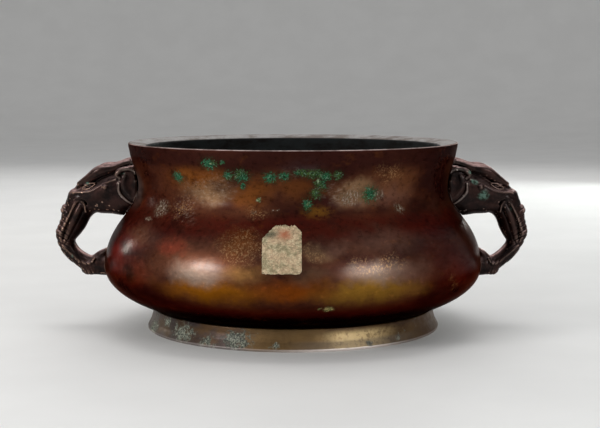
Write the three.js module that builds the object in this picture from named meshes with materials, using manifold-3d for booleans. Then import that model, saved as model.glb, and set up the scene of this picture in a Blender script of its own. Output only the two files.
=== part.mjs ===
// A bronze incense burner: a low bowl with a thick everted rim on a splayed foot ring,
// with two elephant-head handles that are riveted through the wall, and an old paper
// label on the front. Units are millimetres, +Z is up, and the origin is the centre of
// the face that the burner stands on. The handles lie along X and the label faces -Y.
import * as THREE from "three";
import { mergeVertices } from "three/addons/utils/BufferGeometryUtils.js";
import Module from "manifold-3d";

const wasm = await Module();
wasm.setup();

// Driving sizes of the bowl.
const height = 93.8;
const rimRadius = 83.2;
const lipThickness = 4.9;
const lipFall = 1.7;
const lipEdgeRound = 1.2;
const neckRadius = 78.3;
const neckHeight = 72.4;
const bellyRadius = 95.4;
const bellyHeight = 31.5;
const wall = 4.8;
const floorThickness = 5.2;
const floorFlatRadius = 56;

// How far the wall's outline runs on before it turns: at the foot, above the neck and
// under the lip, and below the belly, above it and below the neck as shares of the height
// between.
const seatFlare = 3.4;
const seatRise = 1.2;
const neckRise = 4.9;
const lipSwell = 4;
const underShare = 0.626;
const shoulderShare = 0.535;
const throatShare = 0.34;

// Driving sizes of the foot ring and of the step that centres it.
const footHeight = 10.4;
const footTopRadius = 71.2;
const footBottomRadius = 74.3;
const footWallTop = 8.8;
const footWallBottom = 7.3;
const footEdgeRound = 0.8;
const footLedge = 2.3;
const spigotDepth = 2.2;

// A blank sunk panel under the bowl, where such burners carry a cast mark.
const panelSide = 34;
const panelDepth = 0.7;

// Driving sizes of the handles. The carved forms are laid out in units of carving, and
// the head, the trunk and the tusks have a width of their own.
const carving = 1;
const headWidth = 11.5;
const trunkWidth = 6.4;
const tuskSpread = 6.2;

// The right handle's trunk curls in closer to the bowl than the left one's, by this much.
// The draw sets in outside the neck, and fades out again above the belly.
const rightTrunkDraw = 3.2;
const drawOutside = [14, 32];
const drawAbove = [4.5, 26.5];

// Driving sizes of the rivets.
const rivetRadius = 2.4;
const rivetHeadRadius = 5.2;
const rivetHeadHeight = 2.4;
const rivetBite = 7.5;

// Driving sizes of the paper label, and where it is stuck.
const labelWidth = 18;
const labelBottom = 39.3;
const labelHeight = 21.2;
const labelThickness = 0.25;
const labelLeftCut = 5.4;
const labelRightCut = 2.6;
const labelCentreX = -4.6;

// Gaps between pieces.
const seatGap = 0.3;
const labelGap = 0.15;
const rivetGap = 0.3;

// How finely round stretches are divided.
const roundSteps = 72;
const seamSteps = 24;
const curveSteps = 4;

// Turns a closed geometry into a solid that can be joined and cut.
function toSolid(geometry) {
  const bare = geometry.index ? geometry.toNonIndexed() : geometry.clone();
  for (const name of Object.keys(bare.attributes)) {
    if (name !== "position") bare.deleteAttribute(name);
  }
  const merged = mergeVertices(bare, 1e-4);
  return new wasm.Manifold(
    new wasm.Mesh({
      numProp: 3,
      vertProperties: merged.attributes.position.array,
      triVerts: new Uint32Array(merged.index.array),
    }),
  );
}

// Turns a solid back into a geometry with flat faces.
function toGeometry(solid) {
  const mesh = solid.getMesh();
  const geometry = new THREE.BufferGeometry();
  geometry.setAttribute("position", new THREE.BufferAttribute(mesh.vertProperties, 3));
  geometry.setIndex(new THREE.BufferAttribute(mesh.triVerts, 1));
  const flat = geometry.toNonIndexed();
  flat.computeVertexNormals();
  return flat;
}

// Revolves an outline of (radius, height) points about Z.
function revolve(points, steps = roundSteps) {
  const geometry = new THREE.LatheGeometry(points, steps);
  geometry.rotateX(Math.PI / 2);
  return toSolid(geometry);
}

const at = (radius, z) => new THREE.Vector2(radius, z);

function curve(start, startPull, endPull, end, steps = curveSteps) {
  return new THREE.CubicBezierCurve(start, startPull, endPull, end).getPoints(steps);
}

const seatRadius = footTopRadius - footLedge;
const spigotRadius = footTopRadius - footWallTop - seatGap;

// Where the wall's curve between the belly and the neck leaves the upright, at each end.
const shoulder = bellyHeight + shoulderShare * (neckHeight - bellyHeight);
const throat = neckHeight - throatShare * (neckHeight - bellyHeight);
const under = bellyHeight - underShare * (bellyHeight - footHeight);

// The outside of the wall from the foot ring's seat up to the underside of the lip.
function outerWall(gap = 0) {
  const belly = bellyRadius + gap;
  const neck = neckRadius + gap;
  const lipBottom = height - lipThickness;
  return [
    ...curve(
      at(seatRadius + gap, footHeight),
      at(seatRadius + seatFlare + gap, footHeight + seatRise),
      at(belly, under),
      at(belly, bellyHeight),
      7,
    ),
    ...curve(
      at(belly, bellyHeight),
      at(belly, shoulder),
      at(neck, throat),
      at(neck, neckHeight),
      8,
    ).slice(1),
    ...curve(
      at(neck, neckHeight),
      at(neck, neckHeight + neckRise),
      at(rimRadius - 0.9 + gap, lipBottom - lipSwell),
      at(rimRadius - 0.6 + gap, lipBottom),
    ).slice(1),
  ];
}

// The inside of the wall from under the lip down to the middle of the floor.
function innerWall() {
  const belly = bellyRadius - wall;
  const neck = neckRadius - wall;
  const floor = footHeight - spigotDepth + floorThickness;
  return [
    ...curve(
      at(neck + 0.5, height - lipThickness - lipFall),
      at(neck + 0.5, height - lipThickness - lipFall - 5),
      at(neck, neckHeight + 6),
      at(neck, neckHeight),
      3,
    ),
    ...curve(
      at(neck, neckHeight),
      at(neck, throat),
      at(belly, shoulder),
      at(belly, bellyHeight),
      6,
    ).slice(1),
    ...curve(
      at(belly, bellyHeight),
      at(belly, bellyHeight - 9),
      at(floorFlatRadius + 14, floor),
      at(floorFlatRadius, floor),
      6,
    ).slice(1),
    at(0, floor),
  ];
}

// The lip's edge: rounded outside, and falling a little towards the inside.
function lip() {
  const inner = neckRadius - wall + 0.5;
  return [
    at(rimRadius, height - lipThickness / 2),
    at(rimRadius, height - lipEdgeRound),
    at(rimRadius - lipEdgeRound * 0.3, height - lipEdgeRound * 0.3),
    at(rimRadius - lipEdgeRound, height),
    at((rimRadius + inner) / 2, height - lipFall * 0.35),
    at(inner + lipEdgeRound, height - lipFall),
    at(inner, height - lipFall - lipEdgeRound),
  ];
}

const wallOutside = outerWall();
const wallInside = innerWall().reverse();

// The wall's radius at a height, on an outline whose points run upwards.
function radiusAt(outline, z) {
  const above = Math.max(1, outline.findIndex((p) => p.y >= z));
  const high = outline[above];
  const low = outline[above - 1];
  return THREE.MathUtils.lerp(low.x, high.x, (z - low.y) / (high.y - low.y));
}

function bowl() {
  const spigotFace = footHeight - spigotDepth;
  let made = revolve([
    at(0, spigotFace),
    at(spigotRadius, spigotFace),
    at(spigotRadius, footHeight),
    ...wallOutside,
    ...lip(),
    ...innerWall(),
  ]);
  const panel = new THREE.BoxGeometry(panelSide, panelSide, 2 * panelDepth);
  panel.translate(0, 0, spigotFace);
  made = made.subtract(toSolid(panel));
  for (const side of [-1, 1]) {
    for (const seat of rivetSeats) made = made.subtract(rivetHole(seat, side));
  }
  return made;
}

function footRing() {
  const innerTop = footTopRadius - footWallTop;
  const innerBottom = footBottomRadius - footWallBottom;
  const flare = footBottomRadius - footTopRadius;
  return revolve([
    at(innerBottom, 0),
    at(footBottomRadius - footEdgeRound, 0),
    at(footBottomRadius, footEdgeRound),
    at(footTopRadius + flare * 0.42, footHeight * 0.42),
    at(footTopRadius + flare * 0.12, footHeight * 0.72),
    at(footTopRadius, footHeight - footEdgeRound * 0.5),
    at(footTopRadius - footEdgeRound * 0.5, footHeight),
    at(innerTop, footHeight),
    at(innerTop + 0.4, footHeight * 0.5),
    at(innerBottom, 0),
  ]);
}

// The rivets sit at the neck and at the belly, where the wall is upright.
const rivetSeats = [
  { name: "upper", z: neckHeight, outside: neckRadius },
  { name: "lower", z: bellyHeight - 1, outside: bellyRadius },
];

function cylinderAlongX(radius, from, to, z, steps = seamSteps) {
  const geometry = new THREE.CylinderGeometry(radius, radius, to - from, steps);
  geometry.rotateZ(Math.PI / 2);
  geometry.translate((from + to) / 2, 0, z);
  return geometry;
}

// The hole runs from inside the bowl to the bottom of the blind hole in the handle.
function rivetHole(seat, side) {
  const from = seat.outside - wall - 4;
  const to = seat.outside + rivetBite + rivetGap;
  const geometry = cylinderAlongX(rivetRadius + rivetGap, from, to, seat.z);
  if (side < 0) geometry.rotateZ(Math.PI);
  return toSolid(geometry);
}

// A rivet with its head hammered down against the inside of the wall.
function rivet(seat) {
  const below = radiusAt(wallInside, seat.z - rivetHeadRadius);
  const above = radiusAt(wallInside, seat.z + rivetHeadRadius);
  const sag = rivetHeadRadius ** 2 / (2 * below) + 0.1;
  const headFace = Math.min(below, above) - sag - seatGap;
  const dome = [
    at(0, 0),
    at(rivetHeadRadius, 0),
    at(rivetHeadRadius * 0.96, rivetHeadHeight * 0.35),
    at(rivetHeadRadius * 0.72, rivetHeadHeight * 0.8),
    at(rivetHeadRadius * 0.3, rivetHeadHeight),
    at(0, rivetHeadHeight),
  ];
  const head = new THREE.LatheGeometry(dome, seamSteps);
  head.rotateZ(Math.PI / 2);
  head.translate(headFace, 0, seat.z);
  const shank = cylinderAlongX(rivetRadius, headFace - 0.5, seat.outside + rivetBite, seat.z);
  return toSolid(head).add(toSolid(shank));
}

// A solid along a spine in the XZ plane. Each station is [x, z, half thickness in the
// plane, half width along Y in units of width], and lean holds each station's distance
// from the plane in units of spread. The section is a rounded box of that power.
function loft(stations, shape) {
  const { steps, sides, power = 2, side = 1, width = carving, lean = [], spread = carving } = shape;
  const spine = new THREE.CatmullRomCurve3(
    stations.map(([x, z]) => new THREE.Vector3(x, 0, z)),
    false,
    "centripetal",
  );
  const sizes = new THREE.CatmullRomCurve3(
    stations.map(([, , t, w], i) => new THREE.Vector3(t, width * w, side * spread * (lean[i] ?? 0))),
    false,
    "centripetal",
  );
  const positions = [];
  const rings = [];
  for (let i = 0; i <= steps; i += 1) {
    const u = i / steps;
    const centre = spine.getPoint(u);
    const along = spine.getTangent(u);
    const up = new THREE.Vector3(-along.z, 0, along.x);
    const { x: thick, y: wide, z: offset } = sizes.getPoint(u);
    const ring = [];
    for (let k = 0; k < sides; k += 1) {
      const a = (k / sides) * 2 * Math.PI;
      const c = Math.sign(Math.cos(a)) * Math.abs(Math.cos(a)) ** (2 / power);
      const s = Math.sign(Math.sin(a)) * Math.abs(Math.sin(a)) ** (2 / power);
      const p = centre.clone().addScaledVector(up, thick * s);
      ring.push(new THREE.Vector3(p.x, offset + wide * c, p.z));
    }
    rings.push(ring);
  }
  const triangle = (a, b, c) => {
    for (const p of [a, b, c]) positions.push(...p.toArray());
  };
  const middle = (ring) => {
    const sum = ring.reduce((total, p) => total.add(p), new THREE.Vector3());
    return sum.divideScalar(ring.length);
  };
  const first = middle(rings[0]);
  const last = middle(rings[steps]);
  for (let k = 0; k < sides; k += 1) {
    const j = (k + 1) % sides;
    for (let i = 0; i < steps; i += 1) {
      triangle(rings[i][k], rings[i][j], rings[i + 1][j]);
      triangle(rings[i][k], rings[i + 1][j], rings[i + 1][k]);
    }
    triangle(first, rings[0][j], rings[0][k]);
    triangle(last, rings[steps][k], rings[steps][j]);
  }
  const geometry = new THREE.BufferGeometry();
  geometry.setAttribute("position", new THREE.Float32BufferAttribute(positions, 3));
  return toSolid(geometry);
}

// The head sits on the neck and the trunk ends on the belly, so points of the head are
// given from a place at the neck and points of the trunk's tip from one at the belly.
const station = (radius, z) => (out, up, thick, wide) => [
  radius + carving * out,
  z + carving * up,
  carving * thick,
  wide,
];
const onNeck = station(neckRadius + 0.9 * carving, neckHeight - 3.5 * carving);
const onBelly = station(bellyRadius - 0.1 * carving, bellyHeight + 0.8 * carving);

function head() {
  return loft(
    [
      onNeck(-3, 0.2, 13, 1),
      onNeck(6, -0.2, 12.6, 1.03),
      onNeck(14, -0.6, 11.4, 0.95),
      onNeck(22, -2.2, 9.8, 0.79),
      onNeck(29, -5.4, 6.5, 0.64),
    ],
    { steps: 10, sides: 16, power: 2.5, width: headWidth },
  );
}

function trunk() {
  return loft(
    [
      onNeck(22, -0.6, 8.6, 1.28),
      onNeck(29.4, -8.6, 7.6, 1.16),
      onNeck(32.8, -16, 6.7, 1.03),
      onBelly(20, 14.2, 5.5, 0.97),
      onBelly(20.1, 9.4, 4.3, 0.92),
      onBelly(17.2, 4.7, 3.9, 0.88),
      onBelly(12.8, 1.1, 3.9, 0.84),
      onBelly(8, -1.4, 4.5, 0.86),
      onBelly(3, -1.6, 5.2, 0.92),
      onBelly(-5, -1.2, 6, 1),
    ],
    { steps: 22, sides: 14, power: 2.3, width: trunkWidth },
  );
}

// A heavy brow from the neck to the root of the trunk, over each eye.
function brow(side) {
  return loft(
    [
      onNeck(-2, 14.8, 1.7, 3),
      onNeck(8, 13.2, 1.9, 3.4),
      onNeck(17, 10.6, 2.7, 3.8),
      onNeck(24, 6.2, 2.2, 3.2),
      onNeck(29.2, 3, 1.4, 2.2),
    ],
    { steps: 10, sides: 10, side, lean: [7.2, 8.2, 7.8, 6.4, 4.6] },
  );
}

// The cheek below the eye, from the ear to the socket of the tusk.
function cheek(side) {
  return loft(
    [
      onNeck(8, 3.4, 3.4, 2.4),
      onNeck(15, 0.8, 4, 3),
      onNeck(22, -1.8, 3.6, 2.8),
      onNeck(28.4, -3.2, 2.2, 2.2),
    ],
    { steps: 8, sides: 10, side, lean: [10, 9.4, 8, 6] },
  );
}

function tusk(side) {
  return loft(
    [
      onNeck(27, -5.6, 1.6, 1.6),
      onNeck(29.6, -10.4, 2, 1.9),
      onNeck(33, -18, 1.8, 1.7),
      onNeck(37, -26.4, 0.8, 0.8),
    ],
    { steps: 8, sides: 10, side, lean: [0.97, 1, 0.94, 0.82], spread: tuskSpread },
  );
}

// The raised edge that arches over the tusk's socket and runs down beside the tusk.
function tuskEdge(side) {
  return loft(
    [
      onNeck(26.6, -9.6, 0.8, 0.9),
      onNeck(27, -6.6, 0.9, 1),
      onNeck(29.4, -5, 0.9, 1),
      onNeck(32, -8.4, 0.9, 1),
      onNeck(35.4, -14.8, 0.9, 1),
      onNeck(38.8, -22.6, 0.8, 0.9),
      onNeck(38.4, -26.6, 0.7, 0.8),
    ],
    { steps: 16, sides: 6, side, lean: [7.4, 7.3, 7, 6.6, 6, 5.2, 5] },
  );
}

// The tip of the trunk, turned up against the belly.
function trunkTip() {
  return loft(
    [
      onBelly(7, -2, 3, 0.63),
      onBelly(4.4, 1.4, 3, 0.69),
      onBelly(1.8, 4, 2.4, 0.66),
      onBelly(0, 5.8, 1.4, 0.5),
    ],
    { steps: 6, sides: 12, power: 2.3, width: trunkWidth },
  );
}

// The raised edge of the trunk's curl, which turns up towards its tip.
function curlEdge(side) {
  return loft(
    [
      onBelly(21, 9.6, 0.8, 0.9),
      onBelly(17.4, 4.9, 0.9, 1),
      onBelly(13, 0.9, 0.9, 1),
      onBelly(9.6, -0.6, 0.9, 1),
      onBelly(6.4, 0.6, 0.9, 1),
      onBelly(5.4, 2.8, 0.8, 0.9),
    ],
    { steps: 12, sides: 6, side, lean: [5.4, 5.2, 5, 5, 5.1, 5.1] },
  );
}

function eye(side) {
  const geometry = new THREE.SphereGeometry(1, 10, 6);
  geometry.scale(3.2 * carving, 1.5 * carving, 1.2 * carving);
  geometry.rotateY(0.32);
  const [x, z] = onNeck(23.2, 2.8);
  geometry.translate(x, side * 8.2 * carving, z);
  return toSolid(geometry);
}

// An ear laid back against the neck: a leaf with a rolled top edge.
function ear(side) {
  const leaf = loft(
    [
      onNeck(-2, -5.4, 1.6, 1.4),
      onNeck(2, 0, 3.8, 1.8),
      onNeck(3.4, 5.4, 4.6, 2),
      onNeck(2.4, 9.8, 3, 1.8),
    ],
    { steps: 8, sides: 10, side, lean: [10.8, 11.4, 11.6, 11.2] },
  );
  const roll = loft(
    [
      onNeck(-2, 9.4, 1.1, 1.3),
      onNeck(2, 11.6, 1.2, 1.5),
      onNeck(6.8, 11, 1.3, 1.6),
      onNeck(8.4, 8.4, 1.4, 1.6),
      onNeck(6.6, 7.2, 1.1, 1.3),
    ],
    { steps: 10, sides: 8, side, lean: [11.6, 12.2, 12.4, 12.2, 11.8] },
  );
  return leaf.add(roll);
}

const handleForms = [brow, cheek, tusk, tuskEdge, curlEdge, eye, ear];

// Moves the trunk's lower part towards the bowl, and leaves the head and the roots.
function drawnIn(solid, draw) {
  const { smoothstep } = THREE.MathUtils;
  const mesh = solid.getMesh();
  const places = mesh.vertProperties;
  const outZone = drawOutside.map((d) => neckRadius + carving * d);
  const upZone = drawAbove.map((d) => bellyHeight + carving * d);
  for (let i = 0; i < places.length; i += 3) {
    const out = smoothstep(places[i], ...outZone);
    const low = 1 - smoothstep(places[i + 2], ...upZone);
    places[i] -= draw * out * low;
  }
  return new wasm.Manifold(mesh);
}

// A handle for the +X side, with its roots cut to the wall and its rivet holes.
function handle(draw) {
  let made = head().add(trunk()).add(trunkTip());
  for (const side of [-1, 1]) {
    for (const form of handleForms) made = made.add(form(side));
  }
  made = drawnIn(made, draw).subtract(insideWall());
  for (const seat of rivetSeats) made = made.subtract(rivetHole(seat, 1));
  return made;
}

// Everything within the wall's outside, and a seat's gap beyond it.
function insideWall() {
  const above = height + 5;
  return revolve([at(0, 0), at(seatRadius, 0), ...outerWall(seatGap), at(rimRadius, above), at(0, above)]);
}

// The label: a thin sheet that follows the wall, with its two upper corners cut away.
function label() {
  const rows = 8;
  const columns = 6;
  const edges = (v) => {
    const half = labelWidth / 2;
    const leftCut = Math.max(0, labelLeftCut - (1 - v) * labelHeight);
    const rightCut = Math.max(0, labelRightCut - (1 - v) * labelHeight);
    return [labelCentreX - half + leftCut, labelCentreX + half - rightCut];
  };
  const point = (u, v, lift) => {
    const z = labelBottom + v * labelHeight;
    const [left, right] = edges(v);
    const radius = radiusAt(wallOutside, z) + lift;
    const turn = THREE.MathUtils.lerp(left, right, u) / radius;
    return new THREE.Vector3(radius * Math.sin(turn), -radius * Math.cos(turn), z);
  };
  const positions = [];
  const quad = (a, b, c, d) => {
    for (const p of [a, b, c, a, c, d]) positions.push(...p.toArray());
  };
  const low = labelGap;
  const high = labelGap + labelThickness;
  for (let j = 0; j < rows; j += 1) {
    const [v0, v1] = [j / rows, (j + 1) / rows];
    for (let i = 0; i < columns; i += 1) {
      const [u0, u1] = [i / columns, (i + 1) / columns];
      quad(point(u0, v0, high), point(u1, v0, high), point(u1, v1, high), point(u0, v1, high));
      quad(point(u0, v0, low), point(u0, v1, low), point(u1, v1, low), point(u1, v0, low));
    }
    quad(point(0, v0, low), point(0, v0, high), point(0, v1, high), point(0, v1, low));
    quad(point(1, v0, high), point(1, v0, low), point(1, v1, low), point(1, v1, high));
  }
  for (let i = 0; i < columns; i += 1) {
    const [u0, u1] = [i / columns, (i + 1) / columns];
    quad(point(u0, 0, low), point(u1, 0, low), point(u1, 0, high), point(u0, 0, high));
    quad(point(u0, 1, high), point(u1, 1, high), point(u1, 1, low), point(u0, 1, low));
  }
  const geometry = new THREE.BufferGeometry();
  geometry.setAttribute("position", new THREE.Float32BufferAttribute(positions, 3));
  return toSolid(geometry);
}

const bowlBronze = { color: 0x4a1c10, roughness: 0.32, metalness: 0.9 };
const footBronze = { color: 0x6b4a2c, roughness: 0.42, metalness: 0.9 };
const handleBronze = { color: 0x3a1a14, roughness: 0.38, metalness: 0.9 };
const paper = { color: 0xb9ab86, roughness: 0.95, metalness: 0 };

function named(name, solid, look) {
  const mesh = new THREE.Mesh(toGeometry(solid), new THREE.MeshStandardMaterial(look));
  mesh.name = name;
  return mesh;
}

const burner = new THREE.Group();
burner.add(named("vessel_body", bowl(), bowlBronze));
burner.add(named("foot_ring", footRing(), footBronze));
burner.add(named("paper_label", label(), paper));

for (const [side, turn, draw] of [["right", 0, rightTrunkDraw], ["left", Math.PI, 0]]) {
  const holder = new THREE.Group();
  holder.rotation.z = turn;
  holder.add(named(`${side}_elephant_handle`, handle(draw), handleBronze));
  for (const seat of rivetSeats) {
    holder.add(named(`${side}_${seat.name}_rivet`, rivet(seat), bowlBronze));
  }
  burner.add(holder);
}

export default burner;
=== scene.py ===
"""The looks of the bronze incense burner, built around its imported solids.

Lengths in this script are millimetres until a mesh is made, and metres in Blender.
"""

import math

import bpy
import numpy as np
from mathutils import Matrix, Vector


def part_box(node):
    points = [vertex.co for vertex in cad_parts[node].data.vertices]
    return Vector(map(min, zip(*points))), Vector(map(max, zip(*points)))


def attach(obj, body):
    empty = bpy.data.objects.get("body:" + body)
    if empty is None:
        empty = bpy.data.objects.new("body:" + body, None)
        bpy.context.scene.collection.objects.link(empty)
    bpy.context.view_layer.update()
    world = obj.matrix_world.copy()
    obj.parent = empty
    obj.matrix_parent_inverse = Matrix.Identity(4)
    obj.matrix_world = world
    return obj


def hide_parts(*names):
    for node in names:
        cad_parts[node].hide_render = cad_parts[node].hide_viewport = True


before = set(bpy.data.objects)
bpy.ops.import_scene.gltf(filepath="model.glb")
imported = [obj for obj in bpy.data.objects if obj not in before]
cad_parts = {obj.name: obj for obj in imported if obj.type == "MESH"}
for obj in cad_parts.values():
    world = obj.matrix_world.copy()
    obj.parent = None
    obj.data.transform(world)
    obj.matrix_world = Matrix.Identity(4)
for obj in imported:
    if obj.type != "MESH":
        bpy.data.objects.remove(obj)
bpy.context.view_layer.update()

MM = 0.001

# The sizes that the solids have too.
HEIGHT = 93.8
RIM_R = 83.2
LIP = 4.9
LIP_FALL = 1.7
NECK_R = 78.3
NECK_Z = 72.4
BELLY_R = 95.4
BELLY_Z = 31.5
WALL = 4.8
SEAT_R = 68.9
SPIGOT_R = 62.1
SPIGOT_Z = 8.2
FOOT_Z = 10.4
FLOOR_Z = 13.4
FLOOR_R = 56.0
# The right trunk curls in closer to the bowl than the left one.
RIGHT_DRAW = 3.2


# Outlines of turned pieces, as (radius, height) points.

# Points closer than this are one point.
TOUCHING = 1e-6


def curve(p0, p1, p2, p3, steps):
    t = np.linspace(0, 1, steps + 1)[:, None]
    p0, p1, p2, p3 = (np.array(p, float) for p in (p0, p1, p2, p3))
    return (1 - t) ** 3 * p0 + 3 * t * (1 - t) ** 2 * p1 + 3 * t * t * (1 - t) * p2 + t ** 3 * p3


def bend(points, radius, steps):
    """A polyline with its inner corners rounded."""
    points = [np.array(p, float) for p in points]
    out = [points[0]]
    for a, b, c in zip(points, points[1:], points[2:]):
        r = min(radius, np.linalg.norm(a - b) / 2, np.linalg.norm(c - b) / 2)
        start = b + (a - b) / np.linalg.norm(a - b) * r
        end = b + (c - b) / np.linalg.norm(c - b) * r
        for t in np.linspace(0, 1, steps + 1):
            out.append((1 - t) ** 2 * start + 2 * t * (1 - t) * b + t * t * end)
    out.append(points[-1])
    # Where two corners share a short side, its middle comes twice.
    return np.array(out[:1] + [b for a, b in zip(out, out[1:]) if np.linalg.norm(b - a) > TOUCHING])


SHOULDER = BELLY_Z + 0.535 * (NECK_Z - BELLY_Z)
THROAT = NECK_Z - 0.34 * (NECK_Z - BELLY_Z)
LIP_Z = HEIGHT - LIP


def outer_wall():
    return np.vstack([
        curve((SEAT_R, FOOT_Z), (SEAT_R + 3.4, FOOT_Z + 1.2),
              (BELLY_R, BELLY_Z - 0.626 * (BELLY_Z - FOOT_Z)), (BELLY_R, BELLY_Z), 40),
        curve((BELLY_R, BELLY_Z), (BELLY_R, SHOULDER), (NECK_R, THROAT), (NECK_R, NECK_Z), 44)[1:],
        curve((NECK_R, NECK_Z), (NECK_R, NECK_Z + 4.9),
              (RIM_R - 1.2, LIP_Z - 4), (RIM_R - 0.7, LIP_Z), 26)[1:],
    ])


def lip_and_inside():
    under_lip = HEIGHT - LIP - LIP_FALL
    inner = NECK_R - WALL + 0.5
    belly, neck = BELLY_R - WALL, NECK_R - WALL
    edge = bend([
        (RIM_R - 0.7, LIP_Z), (RIM_R - 0.02, HEIGHT - 1.7), (RIM_R, HEIGHT),
        ((RIM_R + inner) / 2, HEIGHT - 0.35 * LIP_FALL),
        (inner, HEIGHT - LIP_FALL), (inner, under_lip),
    ], 1.3, 6)[1:]
    return np.vstack([
        edge,
        curve((inner, under_lip), (inner, under_lip - 5),
              (neck, NECK_Z + 6), (neck, NECK_Z), 14)[1:],
        curve((neck, NECK_Z), (neck, THROAT), (belly, SHOULDER), (belly, BELLY_Z), 24)[1:],
        curve((belly, BELLY_Z), (belly, BELLY_Z - 9), (FLOOR_R + 14, FLOOR_Z), (FLOOR_R, FLOOR_Z), 24)[1:],
        [(r, FLOOR_Z) for r in (45, 34, 23, 12)],
    ])


OUTER = outer_wall()


def wall_radius(z):
    return np.interp(z, OUTER[:, 1], OUTER[:, 0])


# Smooth noise that is the same in each run.

def smooth(value, low, high):
    t = np.clip((value - low) / (high - low), 0, 1)
    return t * t * (3 - 2 * t)


# Large numbers that mix the places of a grid up.
HASH_X, HASH_Y, HASH_Z, HASH_SEED = 374761393, 668265263, 2147483647, 144269
HASH_MIX = 1274126177
LOW_BITS = 0x7FFFFFFF
LAST_BITS = 0xFFFF


def hash_grid(ix, iy, iz, seed):
    n = (ix * HASH_X + iy * HASH_Y + iz * HASH_Z + seed * HASH_SEED) & LOW_BITS
    n = ((n ^ (n >> 13)) * HASH_MIX) & LOW_BITS
    return ((n ^ (n >> 16)) & LAST_BITS) / LAST_BITS


def value_noise(p, size, seed):
    """Noise from 0 to 1 at points p, with lumps about size across."""
    q = np.asarray(p, float) / size
    cell = np.floor(q).astype(np.int64)
    f = q - cell
    f = f * f * (3 - 2 * f)
    total = 0
    for corner in np.ndindex(2, 2, 2):
        weight = np.prod(np.where(corner, f, 1 - f), axis=1)
        total = total + weight * hash_grid(*(cell + corner).T, seed)
    return total


def rolling(p, wide, fine, seed):
    """Noise from 0 to 1.5, with lumps of two sizes."""
    return value_noise(p, wide, seed) + 0.5 * value_noise(p, fine, seed + 1)


# Meshes.

def make_object(name, verts_mm, faces, material):
    mesh = bpy.data.meshes.new(name)
    mesh.from_pydata((np.asarray(verts_mm) * MM).tolist(), [], [list(map(int, f)) for f in faces])
    mesh.update()
    mesh.polygons.foreach_set("use_smooth", [True] * len(mesh.polygons))
    obj = bpy.data.objects.new(name, mesh)
    bpy.context.scene.collection.objects.link(obj)
    obj.data.materials.append(material)
    return obj


def turned(outline, around, close_start=True, close_end=True, loop=False):
    """Vertices and faces of an outline turned about Z. The ends can close on the axis."""
    angles = np.linspace(0, 2 * math.pi, around, endpoint=False)
    c, s = np.cos(angles), np.sin(angles)
    verts = np.concatenate([np.stack([r * c, r * s, np.full(around, z)], 1) for r, z in outline])
    faces = []
    rings = len(outline)
    ring_pairs = [(i, i + 1) for i in range(rings - 1)] + ([(rings - 1, 0)] if loop else [])
    j = np.arange(around)
    k = (j + 1) % around
    for a, b in ring_pairs:
        faces.append(np.stack([a * around + j, a * around + k, b * around + k, b * around + j], 1))
    faces = np.concatenate(faces).tolist()
    verts = verts.tolist()
    if close_start and not loop:
        verts.append([0, 0, outline[0][1]])
        faces += [[len(verts) - 1, int(b), int(a)] for a, b in zip(j, k)]
    if close_end and not loop:
        verts.append([0, 0, outline[-1][1]])
        base = (rings - 1) * around
        faces += [[len(verts) - 1, base + int(a), base + int(b)] for a, b in zip(j, k)]
    return np.array(verts), faces


def border(columns, rows):
    """The outer places of a grid, counter-clockwise from its first corner."""
    return ([(i, 0) for i in range(columns)] + [(columns, j) for j in range(rows)]
            + [(i, rows) for i in range(columns, 0, -1)] + [(0, j) for j in range(rows, 0, -1)])


def bridge(a, b):
    """Faces between two closed rows that have as many vertices each."""
    return [[a[k - 1], a[k], b[k], b[k - 1]] for k in range(len(a))]


def draw_in(verts, low, depth, free):
    """Draws the free vertices in to shallow hollows: cast bronze is never quite true."""
    radius = np.hypot(verts[:, 0], verts[:, 1])
    shrink = np.where(free, 1 - depth * low / np.maximum(radius, 1), 1.0)
    verts[:, :2] *= shrink[:, None]


# Node materials. Sizes and places are in mm here, and colours are linear.

# Sockets of a mix node: those of its colours and those of its vectors.
SHARE = 0
COLOUR_A, COLOUR_B, COLOUR_OUT = 6, 7, 2
VECTOR_A, VECTOR_B, VECTOR_OUT = 4, 5, 1

# Farther out than any spot reaches.
FAR = 9.0


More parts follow.
